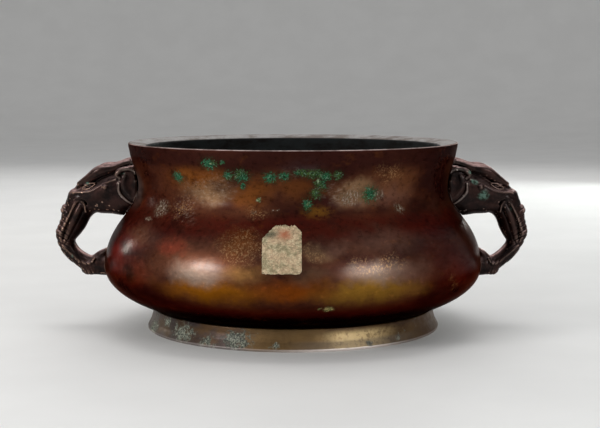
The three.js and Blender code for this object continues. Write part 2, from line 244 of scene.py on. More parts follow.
class Patina:
    """A short way to write a material's node tree."""

    def __init__(self, name):
        self.material = bpy.data.materials.new(name)
        self.material.use_nodes = True
        self.tree = self.material.node_tree
        self.shader = self.tree.nodes["Principled BSDF"]
        place = self.add("ShaderNodeTexCoord", output="Object")
        self.place = self.add("ShaderNodeVectorMath", {0: place, "Scale": 1 / MM}, operation="SCALE")
        self.normal = self.add("ShaderNodeNewGeometry", output="True Normal")

    def add(self, kind, inputs=(), output=0, **settings):
        """Adds a node, fills its inputs and returns one of its outputs."""
        node = self.tree.nodes.new(kind)
        for key, value in settings.items():
            setattr(node, key, value)
        for key, value in inputs.items() if isinstance(inputs, dict) else enumerate(inputs):
            self.plug(value, node.inputs[key])
        return node.outputs[output]

    def plug(self, value, socket):
        if isinstance(value, bpy.types.NodeSocket):
            self.tree.links.new(value, socket)
        else:
            socket.default_value = value

    def set(self, **values):
        """Sets the shader's inputs, such as Roughness or Base_Color."""
        for name, value in values.items():
            self.plug(value, self.shader.inputs[name.replace("_", " ")])

    def vector(self, operation, *inputs, output=0):
        return self.add("ShaderNodeVectorMath", inputs, output, operation=operation)

    def math(self, operation, a, b, clamp=False):
        return self.add("ShaderNodeMath", (a, b), operation=operation, use_clamp=clamp)

    def axis(self, vector, name):
        return self.add("ShaderNodeSeparateXYZ", (vector,), name)

    def times(self, *values):
        result = values[0]
        for value in values[1:]:
            result = self.math("MULTIPLY", result, value)
        return result

    def noise(self, size, detail, rough, squash=None, seed=0.0, output="Fac", where=None):
        """Noise whose lumps are about size across, and squashed along the axes."""
        where = where or self.place
        if squash:
            where = self.vector("MULTIPLY", where, squash)
        inputs = {"Vector": where, "W": seed, "Scale": 1 / size, "Detail": detail, "Roughness": rough}
        return self.add("ShaderNodeTexNoise", inputs, output, noise_dimensions="4D")

    def strokes(self, size, turn, length, seed):
        """Noise drawn out into short strokes that lie at an angle on the front and back."""
        inputs = {"Vector": self.place, "Rotation": (0, turn, 0), "Scale": (1 / length, 1, 1)}
        return self.noise(size, 3, 0.65, seed=seed, where=self.add("ShaderNodeMapping", inputs))

    def span(self, value, low, high, to_low=0.0, to_high=1.0):
        """value from low..high, smoothly onto to_low..to_high."""
        inputs = {"Value": value, "From Min": low, "From Max": high, "To Min": to_low, "To Max": to_high}
        return self.add("ShaderNodeMapRange", inputs, "Result", interpolation_type="SMOOTHSTEP")

    def mix(self, share, a, b, blend="MIX"):
        inputs = {SHARE: share, COLOUR_A: a, COLOUR_B: b}
        return self.add("ShaderNodeMix", inputs, COLOUR_OUT, data_type="RGBA", blend_type=blend)

    def lay(self, share, tone, blend="MIX"):
        """Lays a tone over the base colour so far."""
        self.base = self.mix(share, self.base, tone, blend)

    def warped(self, *bends):
        """The place, pushed about by noise. Each bend is the lumps' size and the push."""
        where = self.place
        for seed, (size, push) in enumerate(bends):
            shake = self.noise(size, 2, 0.6, seed=40.0 + seed, output="Color")
            shake = self.vector("SUBTRACT", shake, (0.5,) * 3)
            where = self.vector("ADD", where, self.vector("MULTIPLY", shake, (2 * push,) * 3))
        return where

    def outwards(self, where, centre, radii):
        """The way out of an ellipsoid: its length is 0 at the centre and 1 on the surface."""
        scale = [1 / r for r in radii]
        offset = [-c / r for c, r in zip(centre, radii)]
        return self.vector("MULTIPLY_ADD", where, scale, offset)

    def length(self, vector):
        return self.vector("LENGTH", vector, output="Value")

    def reach(self, where, centre, radii):
        """How far out of an ellipsoid a place is."""
        return self.length(self.outwards(where, centre, radii))

    def nearest(self, where, spots):
        """The least reach of many spots, each a centre and radii."""
        least = FAR
        for centre, radii in spots:
            least = self.math("MINIMUM", self.reach(where, centre, radii), least)
        return least

    def nearest_way(self, where, spots):
        """The least reach of many spots, and the way out of the spot that has it."""
        least, way = FAR, (0, 0, 1)
        for centre, radii in spots:
            out = self.outwards(where, centre, radii)
            reach = self.length(out)
            inputs = {SHARE: self.math("LESS_THAN", reach, least), VECTOR_A: way, VECTOR_B: out}
            way = self.add("ShaderNodeMix", inputs, VECTOR_OUT, data_type="VECTOR")
            least = self.math("MINIMUM", reach, least)
        return least, way

    def bump(self, value, depth, before=None, share=1.0):
        inputs = {"Distance": depth * MM, "Strength": share, "Height": value}
        if before is not None:
            inputs["Normal"] = before
        return self.add("ShaderNodeBump", inputs)

    def facing_axis(self):
        """Above 0 where the surface faces the Z axis, as the inside of a bowl does."""
        flat = self.vector("NORMALIZE", self.vector("MULTIPLY", self.place, (1, 1, 0)))
        outward = self.vector("DOT_PRODUCT", flat, self.normal, output="Value")
        return self.math("MULTIPLY", outward, -1.0)

    def facing_up(self):
        return self.axis(self.normal, "Z")


def rgb(r, g, b):
    return (r, g, b, 1.0)


def on_wall(x, z):
    """The point of the front wall at that x and height. A negative height is the back."""
    r = float(wall_radius(abs(z)))
    y = math.sqrt(max(r * r - x * x, 0.0))
    return (x, -y if z > 0 else y, abs(z))


WINE = rgb(0.032, 0.0085, 0.0062)
BROWN = rgb(0.090, 0.030, 0.0145)
DEEP_RED = rgb(0.074, 0.0105, 0.0060)
RED = rgb(0.20, 0.038, 0.018)
ORANGE = rgb(0.215, 0.068, 0.011)
TAN = rgb(0.25, 0.145, 0.075)
HIGHLIGHT_GREY = rgb(0.29, 0.24, 0.19)
OLIVE_GOLD = rgb(0.19, 0.064, 0.0035)
PALE_GOLD = rgb(0.21, 0.105, 0.014)
UMBER = rgb(0.065, 0.022, 0.012)
ROSE = rgb(0.155, 0.073, 0.050)
GREY_AND_RIM_LIGHT = rgb(0.165, 0.116, 0.102)
VIOLET_GREY = rgb(0.085, 0.060, 0.066)
HONEY = rgb(0.26, 0.125, 0.036)
EMBER = rgb(0.20, 0.046, 0.004)
RUST = rgb(0.155, 0.058, 0.024)
MURK = rgb(0.022, 0.015, 0.008)
FROST_AND_RIM_LIGHT = rgb(0.17, 0.165, 0.145)
NEAR_BLACK = rgb(0.005, 0.0010, 0.0007)
BLUE_BLACK = rgb(0.0105, 0.0135, 0.0140)
DARK_GREEN = rgb(0.006, 0.024, 0.011)
GREEN = rgb(0.018, 0.105, 0.048)
OLIVE_GREEN = rgb(0.045, 0.082, 0.022)
PALE_GREEN = rgb(0.15, 0.25, 0.17)
PALE_CRUST = rgb(0.36, 0.29, 0.235)
GREY_CRUST = rgb(0.13, 0.115, 0.070)
FLECK = rgb(0.42, 0.24, 0.11)
BRIGHTER = rgb(1.7, 1.62, 1.55)
DULL_GOLD = rgb(0.20, 0.088, 0.012)
MINT = rgb(0.30, 0.40, 0.25)
MUSTARD = rgb(0.46, 0.37, 0.15)
INSIDE_SHADE_BLACK = rgb(0.004, 0.0042, 0.004)
LIP_BROWN = rgb(0.16, 0.135, 0.12)
LIP_SHEEN_GREY = rgb(0.31, 0.30, 0.29)
LIP_DARK = rgb(0.09, 0.075, 0.068)
ASH = rgb(0.12, 0.105, 0.09)
RIM_COPPER_GLINT = rgb(0.66, 0.50, 0.47)
BOWL_SHEEN = rgb(0.32, 0.22, 0.19)

# Tones of the wall: x, height (negative at the back), half width, half height, colour
# and share.
TONES = [
    # The tan tones on the neck at (-38, 73.5) and (29, 73.5) are partly a painted glow of light in the
    # neck's hollow.
    (-44, 79.5, 22, 10, ORANGE, 0.85), (-38, 73.5, 18, 9, TAN, 0.75), (-20, 71.5, 11, 8, ORANGE, 0.45),
    (2, 75.5, 13, 8, ORANGE, 0.35), (29, 73.5, 15, 9, TAN, 0.65),
    (46, 73.5, 13, 9, ROSE, 0.85), (48, 83.5, 26, 8, UMBER, 0.8), (68, 75.5, 12, 18, WINE, 0.9),
    (5, 87.5, 12, 5, VIOLET_GREY, 0.8), (-68, 59.5, 16, 9, UMBER, 0.6), (-72, 52.5, 16, 9, ROSE, 0.85),
    (-55, 49.5, 12, 6, RED, 0.9), (-24, 51.5, 14, 9, ORANGE, 0.5), (-76, 35.5, 16, 9, RED, 0.5),
    (-36, 30.5, 40, 8, OLIVE_GOLD, 0.95), (34, 30.5, 42, 8, PALE_GOLD, 0.9), (0, 32.5, 24, 9, EMBER, 0.8),
    # The two warm grey tones on the belly, at x -43 and 39, are painted highlights: a pale glow about the
    # lamps' highlights.
    (-43, 38.5, 21, 8, HIGHLIGHT_GREY, 0.4), (39, 39, 23, 8, HIGHLIGHT_GREY, 0.4), (8, 39, 14, 6, TAN, 0.25),
    (72, 41.5, 22, 18, DEEP_RED, 0.8), (12, 48.5, 12, 5, TAN, 0.5), (20, 51, 9, 4, ROSE, 0.5),
    (34, 55.5, 18, 5, WINE, 0.45), (-77, 34.5, 6, 7, MURK, 0.75), (2, 60.5, 22, 6, DEEP_RED, 0.7),
    # The frost tone at the right edge and the cool grey tone at the left edge are pale crust, partly painted
    # rim light along the bowl's outline.
    (86, 59.5, 9, 13, FROST_AND_RIM_LIGHT, 0.75), (-78, 71.5, 9, 14, GREY_AND_RIM_LIGHT, 0.9), (-21, 39.5, 15, 6, HONEY, 0.7),
    (66, 56, 16, 8, DEEP_RED, 0.6), (27, 77.5, 9, 5, TAN, 0.55), (49, 78.5, 17, 10, RUST, 0.8),
    (-14, 76, 12, 8, ORANGE, 0.5), (42, 53, 24, 8, ROSE, 0.55), (30, 76, 9, 6, TAN, 0.45),
    (80, 36, 12, 10, RED, 0.3), (53, 38.5, 16, 8, ROSE, 0.6), (-86, 40, 8, 10, RED, 0.6),
    (-60, -78, 22, 12, ORANGE, 0.7), (-10, -72, 26, 9, TAN, 0.6),
    (30, -80, 18, 10, ORANGE, 0.6), (62, -58, 14, 9, RED, 0.6), (-30, -34, 42, 9, OLIVE_GOLD, 0.85),
    (46, -32, 34, 10, PALE_GOLD, 0.7), (8, -52, 20, 8, UMBER, 0.6),
]

# Patches of green: x, height, half width and half height.
GREENS = [
    (-37.8, 87.0, 4.2, 3.0), (-31.8, 87.7, 1.6, 1.2), (-53.1, 80.0, 3.6, 2.9), (-29.0, 81.9, 2.9, 2.6),
    (-23.0, 81.8, 4.0, 3.2), (-22.3, 77.0, 1.6, 2.2), (-10, 81.1, 3.5, 2.7), (-3.7, 81.7, 3.0, 2.4),
    (4.6, 83.4, 4.2, 1.9), (10.5, 82.9, 5.2, 2.7), (15.2, 81.6, 3.4, 2.6), (13, 78.0, 3.2, 3.4),
    (10.6, 73.8, 3.0, 2.8), (6.8, 68.8, 2.2, 3.2), (20.8, 82.0, 2.5, 2.4), (35.6, 73.0, 4.6, 3.8),
    (86, 56.5, 3, 5), (-26, -84, 3.4, 2.6), (-12, -80, 5.4, 3.6), (4, -83, 3.2, 2.2),
    (38, -70, 3.6, 3.2), (52, -80, 2.6, 2.4), (-58, -66, 3, 2.6), (16, -60, 2, 2),
]

# Paler green spots, in the same form.
PALE_SPOTS = [
    (-15.3, 70.9, 1.7, 1.5), (7.3, 69.3, 0.9, 1.0), (-25.6, 81.2, 0.6, 1.1), (-36.9, 87.2, 1.0, 0.8),
    (11.8, 79.4, 0.8, 2.0), (16.4, 22.9, 3.4, 2.0), (12.2, 23.4, 1.2, 0.8),
]

# Pale crusts, in the same form.
CRUSTS = [
    (26.8, 71.6, 7.4, 4.4), (39.8, 72.4, 3.6, 2.6), (49.7, 65.6, 3.8, 3.2), (-62.0, 64.6, 7.4, 5.2),
    (-68.6, 59.2, 4.4, 1.3), (-17.2, 65.5, 2.2, 1.0), (-7.7, 66.5, 2.3, 0.6),
    (-20, -62, 3.6, 2.4), (44, -58, 4.6, 2.8), (-44, -24, 2.6, 1.6),
]

# Where rubbed metal shows through as fine gold flecks, in the same form.
FLECKS = [
    (-23, 50.5, 16, 10), (-52, 64.5, 9, 9), (45, 82.5, 10, 8), (38, 42.5, 18, 6.5), (-15, 65.5, 7, 5),
    (10, 48.5, 9, 5), (76, 29.5, 6, 5), (36, -76, 16, 8), (-40, -50, 14, 8),
]

# Where the wall is scuffed with short pale strokes, in the same form.
SCUFFS = [
    (-38, 75, 19, 10), (-50, 64, 9, 8), (22, 75, 12, 7), (1, 83.5, 5, 4),
    (30, -74, 22, 8), (-34, -60, 18, 8),
]


# From this width on a spot is made deep, so that it follows the wall as it curves away.
LARGE, DEEP = 8, 40


def spots_on_wall(places):
    return [(on_wall(x, z), (wide, wide if wide < LARGE else DEEP, tall)) for x, z, wide, tall in places]


def bowl_material():
    n = Patina("bowl_bronze")
    z = n.axis(n.place, "Z")
    large = n.noise(34, 3, 0.5, (1, 1, 2), seed=1)
    cloud = n.noise(10, 5, 0.62, (1, 1, 1.6), seed=2)
    mottle = n.noise(2.4, 5, 0.7, (1, 1, 1.2), seed=4)
    grain = n.noise(0.7, 3, 0.7, seed=5)
    drift = n.warped((14, 5), (3.6, 2.4))
    ragged = n.warped((3.2, 1.3), (0.9, 0.8))

    n.base = n.mix(n.span(large, 0.35, 0.62), WINE, BROWN)
    shoulder = n.times(n.span(z, 50, 56), n.span(z, 66, 60), n.span(cloud, 0.3, 0.6, 0.4, 0.95))
    n.lay(shoulder, DEEP_RED)
    for x, height, wide, tall, tone, share in TONES:
        reach = n.reach(drift, on_wall(x, height), (wide, max(wide, DEEP), tall))
        n.lay(n.span(reach, 0.1, 1.0, share, 0), tone)
    under_lip = n.times(n.span(z, 82, 88), n.span(cloud, 0.25, 0.6, 0.62, 0.95))
    n.lay(under_lip, WINE)
    # Painted shade: the belly is painted darker towards the foot, deep red and then near black, as its
    # underside lies in shadow.
    n.lay(n.span(z, 27, 18, 0, 0.95), DEEP_RED)
    n.lay(n.span(z, 21.5, 15), NEAR_BLACK)
    blotchy = n.span(z, 46, 62, 0.35, 1)
    n.lay(n.times(n.span(cloud, 0.30, 0.52, 0.60, 0), blotchy), WINE)
    n.lay(n.span(cloud, 0.56, 0.72, 0, 0.35), n.mix(0.5, n.base, ORANGE))
    n.lay(n.times(n.span(mottle, 0.32, 0.50, 0.70, 0), blotchy), n.mix(0.7, n.base, NEAR_BLACK))
    n.lay(n.span(mottle, 0.54, 0.74, 0, 0.7), BRIGHTER, "MULTIPLY")
    gold = n.span(n.reach(ragged, on_wall(11, 65.6), (8.4, 20, 3.4)), 0.1, 1.3, 0.8, 0)
    n.lay(n.times(gold, n.span(mottle, 0.38, 0.60, 0.05, 0.8)), DULL_GOLD)
    strokes = n.span(n.strokes(0.8, 0.7, 3.5, 3), 0.46, 0.64)
    scuffed = n.span(n.nearest(drift, spots_on_wall(SCUFFS)), 0.2, 1, 1, 0)
    n.lay(n.times(scuffed, strokes, n.span(mottle, 0.38, 0.6), 0.36), PALE_CRUST)

    rubbed = n.span(n.nearest(drift, spots_on_wall(FLECKS)), 0.2, 1, 1, 0)
    fleck = n.times(rubbed, n.span(n.noise(0.9, 4, 0.75, seed=10), 0.50, 0.60), n.span(cloud, 0.34, 0.54))
    n.lay(n.times(fleck, 0.6), FLECK)
    pits = n.times(n.span(n.noise(1.3, 2, 0.5, seed=6), 0.76, 0.80), n.span(cloud, 0.4, 0.55))
    n.lay(n.times(pits, 0.7), NEAR_BLACK)

    near_green, way = n.nearest_way(ragged, spots_on_wall(GREENS))
    rays = n.noise(0.13, 3, 0.7, seed=9, where=n.vector("NORMALIZE", way))
    flesh = n.noise(0.8, 4, 0.75, seed=7)
    near_green = n.math("ADD", near_green, n.span(rays, 0.30, 0.70, 0.30, -0.30))
    near_green = n.math("ADD", near_green, n.span(flesh, 0.30, 0.70, 0.35, -0.35))
    green = n.span(near_green, 0.45, 1.0, 1, 0)
    halo = n.span(near_green, 0.6, 1.7, 1, 0)
    kind = n.span(n.noise(7, 1, 0.5, seed=12), 0.46, 0.60)
    flower = n.mix(n.span(flesh, 0.40, 0.60), DARK_GREEN, n.mix(kind, GREEN, OLIVE_GREEN))
    flower = n.mix(n.times(n.span(grain, 0.52, 0.64), n.span(rays, 0.36, 0.58)), flower, PALE_GREEN)
    n.lay(n.times(halo, 0.6), n.mix(0.6, n.base, DARK_GREEN))
    eaten = n.span(flesh, 0.30, 0.44, 0.35, 1)
    green = n.times(green, eaten)
    n.lay(green, flower)
    pale = n.span(n.nearest(ragged, spots_on_wall(PALE_SPOTS)), 0.3, 1, 0.9, 0)
    pale_tone = n.mix(n.span(z, 40, 30), MINT, MUSTARD)
    n.lay(pale, n.mix(n.span(grain, 0.42, 0.60), OLIVE_GREEN, pale_tone))
    comb = n.noise(1.0, 3, 0.65, (1, 1, 0.3), seed=13)
    crust = n.span(n.nearest(ragged, spots_on_wall(CRUSTS)), 0.4, 1.05, 1, 0)
    crust = n.times(crust, n.span(grain, 0.42, 0.60, 0.05, 0.9), n.span(comb, 0.38, 0.54, 0.15, 1))
    n.lay(crust, n.mix(n.span(comb, 0.46, 0.62), GREY_CRUST, PALE_CRUST))

    inside = n.span(n.facing_axis(), -0.2, 0.15)
    flat = n.span(n.facing_up(), 0.6, 0.9)
    high = n.span(z, 89, 91)
    lip_top = n.times(flat, high)
    floor_inside = n.times(flat, n.span(z, 30, 24))
    inside = n.math("MAXIMUM", inside, floor_inside)
    # Painted shade: the inside of the bowl, its walls and floor, is painted near black.
    n.lay(inside, n.mix(n.span(cloud, 0.4, 0.65), BLUE_BLACK, INSIDE_SHADE_BLACK))
    # The lip's top is worn, and its pale grey is partly a painted reflection of the light from above and
    # behind.
    lip_wear_and_sheen = n.mix(n.span(cloud, 0.38, 0.60), LIP_BROWN, LIP_SHEEN_GREY)
    n.lay(lip_top, n.mix(n.span(mottle, 0.5, 0.7, 0, 0.45), lip_wear_and_sheen, LIP_DARK))
    ash = n.times(floor_inside, n.span(cloud, 0.45, 0.62), 0.6)
    n.lay(ash, ASH)
    # Worn copper along the rim's rounded outer edge, painted pale as a highlight line.
    rim_wear_and_glint = n.times(n.span(z, 93.2, 93.5), n.span(flat, 0.9, 0.4), n.span(inside, 0.5, 0.1))
    n.lay(n.times(rim_wear_and_glint, n.span(cloud, 0.38, 0.56, 0.4, 1)), RIM_COPPER_GLINT)

    dull = n.math("MAXIMUM", n.math("MAXIMUM", green, pale), crust)
    rough = n.math("ADD", n.span(mottle, 0.3, 0.7, 0.36, 0.48), n.times(dull, 0.35))
    rough = n.math("ADD", rough, n.span(z, 54, 62, 0, 0.16))
    rough = n.math("ADD", rough, n.times(inside, 0.12), True)
    dull = n.math("MAXIMUM", dull, inside)
    metal = n.math("SUBTRACT", 1.0, n.times(dull, 0.82), True)
    coat = n.math("SUBTRACT", n.span(mottle, 0.3, 0.6, 0.14, 0.28), n.times(dull, 0.34), True)
    coat = n.times(coat, n.span(z, 31, 41), n.span(z, 58, 50, 0.12, 1))
    n.set(Base_Color=n.base, Roughness=rough, Metallic=metal, Coat_Weight=coat, Coat_Roughness=0.20)
    n.set(Specular_Tint=BOWL_SHEEN, Specular_IOR_Level=0.3)
    wear = n.bump(n.noise(22, 3, 0.5, (1, 1, 2), seed=8), 0.30)
    wear = n.bump(cloud, 0.10, wear)
    wear = n.bump(mottle, 0.045, wear)
    wear = n.bump(grain, 0.20, wear, n.times(dull, 0.8))
    n.set(Normal=wear)
    return n.material


FOOT_DARK = rgb(0.050, 0.024, 0.010)
FOOT_BROWN = rgb(0.145, 0.082, 0.030)
FOOT_TAN = rgb(0.19, 0.125, 0.065)
FOOT_PIT = rgb(0.020, 0.009, 0.005)
FOOT_SHADE = rgb(0.03, 0.012, 0.006)
SLATE = rgb(0.035, 0.026, 0.026)
EARTH = rgb(0.046, 0.023, 0.010)
AMBER = rgb(0.088, 0.038, 0.008)
FOOT_GOLD_AND_GLINT = rgb(0.54, 0.40, 0.20)
BUFF = rgb(0.18, 0.108, 0.042)
DARK_LICHEN = rgb(0.032, 0.038, 0.028)
PALE_LICHEN = rgb(0.30, 0.31, 0.24)
FOOT_GREY = rgb(0.17, 0.135, 0.105)
BARE_EDGE_GLINT = rgb(0.80, 0.72, 0.68)

# Crusts on the foot: x, y and height of the middle, and half widths.
FOOT_CRUSTS = [
    (-53, -50, 4.8, 8.5), (-26, -68, 4.5, 7.5), (-69, -24, 4, 7), (-40, -61, 2.2, 4.5), (-62, -38, 7.5, 4),
    (35, -63, 2, 3), (-8, -72.5, 2.5, 2.8), (50, -53, 3, 2.2),
    (30, 66, 5, 6), (-44, 57, 4, 7), (67, 23, 4, 6),
]


def foot_material():
    n = Patina("foot_bronze")
    z = n.axis(n.place, "Z")
    cloud = n.noise(13, 4, 0.55, (1, 1, 1.6), seed=1)
    mottle = n.noise(2.4, 5, 0.66, seed=2)
    grain = n.noise(0.7, 3, 0.7, seed=3)
    ragged = n.warped((4, 2.4), (1.1, 0.9))
    n.base = n.mix(n.span(cloud, 0.36, 0.62), FOOT_DARK, FOOT_BROWN)
    n.lay(n.span(mottle, 0.50, 0.72, 0, 0.6), FOOT_TAN)
    n.lay(n.span(mottle, 0.30, 0.46, 0.7, 0), FOOT_PIT)
    n.lay(n.times(n.span(z, 7, 10.4), 0.6), FOOT_SHADE)
    x = n.axis(n.place, "X")
    n.lay(n.span(x, -8, -34, 0, 0.75), n.mix(n.span(cloud, 0.4, 0.6), SLATE, EARTH))
    n.lay(n.span(x, 48, 64, 0, 0.8), AMBER)
    # Worn gold on the foot between x 6 and 52, brightened as a painted highlight.
    gold = n.times(n.span(x, 6, 24), n.span(x, 52, 36), n.span(mottle, 0.36, 0.56, 0.3, 1), n.span(z, 10, 7))
    n.lay(n.times(gold, 0.9), FOOT_GOLD_AND_GLINT)
    n.lay(n.times(n.span(x, -30, -10), n.span(x, 24, 10), 0.6), BUFF)
    spots = [((x, y, height), (wide, wide, wide * 0.7)) for x, y, height, wide in FOOT_CRUSTS]
    near = n.math("ADD", n.nearest(ragged, spots), n.span(mottle, 0.34, 0.66, 0.4, -0.4))
    crust = n.span(near, 0.4, 1, 1, 0)
    crust = n.math("MAXIMUM", crust, n.span(n.noise(7, 6, 0.7, seed=4), 0.63, 0.70))
    crust = n.times(crust, n.span(mottle, 0.34, 0.48, 0.35, 1))
    n.lay(crust, n.mix(n.span(grain, 0.42, 0.62), DARK_LICHEN, PALE_LICHEN))
    lower = n.times(n.span(z, 5.5, 3.5), n.span(x, -6, 10), n.span(x, 66, 50), 0.45)
    n.lay(lower, FOOT_GREY)
    # A thin pale line along the foot's bottom edge, strongest between x 20 and 36: worn metal, painted as a
    # highlight line.
    edge = n.times(n.span(z, 1.5, 0.9), n.span(x, -20, 20, 0.25, 1), n.span(x, 60, 36, 0.3, 1))
    n.lay(edge, BARE_EDGE_GLINT)
    rough = n.math("ADD", n.span(mottle, 0.3, 0.7, 0.42, 0.60), n.times(crust, 0.3), True)
    metal = n.math("SUBTRACT", 0.85, n.times(crust, 0.7), True)
    n.set(Base_Color=n.base, Roughness=rough, Metallic=metal, Coat_Weight=0.06, Coat_Roughness=0.25)
    wear = n.bump(cloud, 0.25)
    wear = n.bump(mottle, 0.06, wear)
    wear = n.bump(grain, 0.2, wear, crust)
    n.set(Normal=wear)
    return n.material


HANDLE_DARK = rgb(0.008, 0.0045, 0.0042)
HANDLE_BROWN = rgb(0.030, 0.013, 0.0105)
HANDLE_TAN = rgb(0.060, 0.034, 0.027)
HANDLE_TOP_WEAR_AND_SHEEN = rgb(0.41, 0.27, 0.255)
HANDLE_CREASE_SHADE = rgb(0.004, 0.0025, 0.002)
EAR_RIDGE_GLINT = rgb(0.46, 0.42, 0.39)
VERDIGRIS = rgb(0.13, 0.24, 0.19)
HANDLE_SHEEN = rgb(0.4, 0.3, 0.28)


def handle_material(name, rubbed, spots):
    """The bronze of one handle. rubbed is the colour that its ridges are painted: worn metal, lightened as a
    painted highlight.
    """
    n = Patina(name)
    cloud = n.noise(6, 5, 0.6, seed=1)
    mottle = n.noise(1.5, 5, 0.66, seed=2)
    ragged = n.warped((2.4, 1.2), (0.8, 0.6))
    n.base = n.mix(n.span(cloud, 0.38, 0.64), HANDLE_DARK, HANDLE_BROWN)
    n.lay(n.span(mottle, 0.50, 0.74, 0, 0.4), HANDLE_TAN)
    # Upward faces are painted pale pink: partly rubbed metal, partly a painted highlight from the light
    # above.
    top = n.times(n.span(n.facing_up(), 0.35, 0.8), n.span(cloud, 0.34, 0.5, 0.4, 1))
    n.lay(n.times(top, n.span(mottle, 0.34, 0.56, 0.55, 0.85)), HANDLE_TOP_WEAR_AND_SHEEN)
    sharp = n.add("ShaderNodeNewGeometry", output="Pointiness")
    # Sharp ridges get the rubbed colour: worn metal, lightened as painted highlight lines.
    ridge = n.times(n.span(sharp, 0.505, 0.545), n.span(cloud, 0.3, 0.5, 0.5, 1))
    n.lay(n.times(ridge, 0.8), rubbed)
    # Painted highlight: the ridges near the ear are painted pale grey.
    near_ear = n.span(n.reach(n.place, (0, 0, 70), (92, 60, 60)), 1.02, 0.94)
    n.lay(n.times(ridge, near_ear, 0.8), EAR_RIDGE_GLINT)
    # Painted shade: hollows and creases are painted near black.
    n.lay(n.span(sharp, 0.44, 0.495, 0.9, 0), HANDLE_CREASE_SHADE)
    green = n.span(n.nearest(ragged, [(centre, (size,) * 3) for centre, size in spots]), 0.4, 1, 1, 0)
    n.lay(n.times(green, 0.8), n.mix(n.span(mottle, 0.42, 0.58), DARK_GREEN, VERDIGRIS))
    rough = n.math("ADD", n.span(mottle, 0.3, 0.7, 0.28, 0.46), n.times(green, 0.3), True)
    metal = n.math("SUBTRACT", 0.85, n.times(green, 0.7), True)
    n.set(Base_Color=n.base, Roughness=rough, Metallic=metal, Coat_Weight=0.14, Coat_Roughness=0.20)
    n.set(Specular_Tint=HANDLE_SHEEN, Specular_IOR_Level=0.35)
    n.set(Normal=n.bump(mottle, 0.06, n.bump(cloud, 0.15)))
    return n.material


RIVET_BROWN = rgb(0.05, 0.022, 0.013)
RIVET_TAN = rgb(0.12, 0.06, 0.03)


def rivet_material():
    n = Patina("rivet_bronze")
    cloud = n.noise(3, 4, 0.6, seed=1)
    mottle = n.noise(0.8, 4, 0.65, seed=2)
    n.base = n.mix(n.span(cloud, 0.38, 0.62), BLUE_BLACK, RIVET_BROWN)
    n.lay(n.span(mottle, 0.52, 0.75, 0, 0.6), RIVET_TAN)
    n.set(Base_Color=n.base, Roughness=n.span(mottle, 0.3, 0.7, 0.36, 0.60), Metallic=0.7)
    n.set(Normal=n.bump(mottle, 0.05, n.bump(cloud, 0.15)))
    return n.material


PAPER_OLIVE = rgb(0.285, 0.235, 0.130)
PAPER_BUFF = rgb(0.50, 0.355, 0.215)
PAPER_PINK = rgb(0.36, 0.215, 0.14)
PAPER_FIBRE = rgb(0.095, 0.085, 0.042)
PAPER_BLOT = rgb(0.16, 0.120, 0.070)
PAPER_PALE = rgb(0.62, 0.52, 0.34)
PAPER_RUST = rgb(0.33, 0.075, 0.025)
PAPER_DAMP = rgb(0.055, 0.055, 0.030)


def paper_material():
    n = Patina("aged_paper")
    fibre = n.noise(0.8, 5, 0.75, (1, 1, 2.5), seed=1)
    stain = n.noise(4.2, 4, 0.66, seed=2)
    blot = n.noise(1.35, 3, 0.6, seed=5)
    grain = n.noise(0.45, 3, 0.7, seed=3)
    ragged = n.warped((3, 1.6), (0.8, 0.6))
    n.base = n.mix(n.span(stain, 0.42, 0.58), PAPER_OLIVE, PAPER_BUFF)
    n.lay(n.span(stain, 0.60, 0.72, 0, 0.6), PAPER_PINK)
    n.lay(n.span(fibre, 0.36, 0.54, 0.75, 0), PAPER_FIBRE)
    n.lay(n.span(blot, 0.34, 0.50, 0.40, 0), PAPER_BLOT)
    n.lay(n.times(n.span(blot, 0.46, 0.60), n.span(grain, 0.44, 0.60), 0.85), PAPER_PALE)
    rust = n.span(n.reach(ragged, on_wall(-3.6, 56.1), (5.2, 6, 3.8)), 0.1, 1, 0.9, 0)
    n.lay(n.times(rust, n.span(fibre, 0.3, 0.55, 0.35, 0.95)), PAPER_RUST)
    damp = n.span(n.reach(ragged, on_wall(-10.0, 56.2), (5.4, 6, 3.0)), 0.1, 1, 1, 0)
    n.lay(n.times(damp, n.span(grain, 0.3, 0.6, 0.5, 0.95)), PAPER_DAMP)
    n.set(Base_Color=n.base, Roughness=n.span(grain, 0.3, 0.7, 0.75, 0.95))
    n.set(Normal=n.bump(fibre, 0.07, n.bump(stain, 0.12)))
    return n.material


# The bowl.

# Under the bowl: a square grid inside the round spigot, and the panel that is sunk in it.
GRID_HALF = 20.0
PANEL_HALF = 17.4
PANEL_DEPTH = 0.7
UNDER_R = SPIGOT_R - 1.5
UNDER_RINGS = 12

AROUND = 480


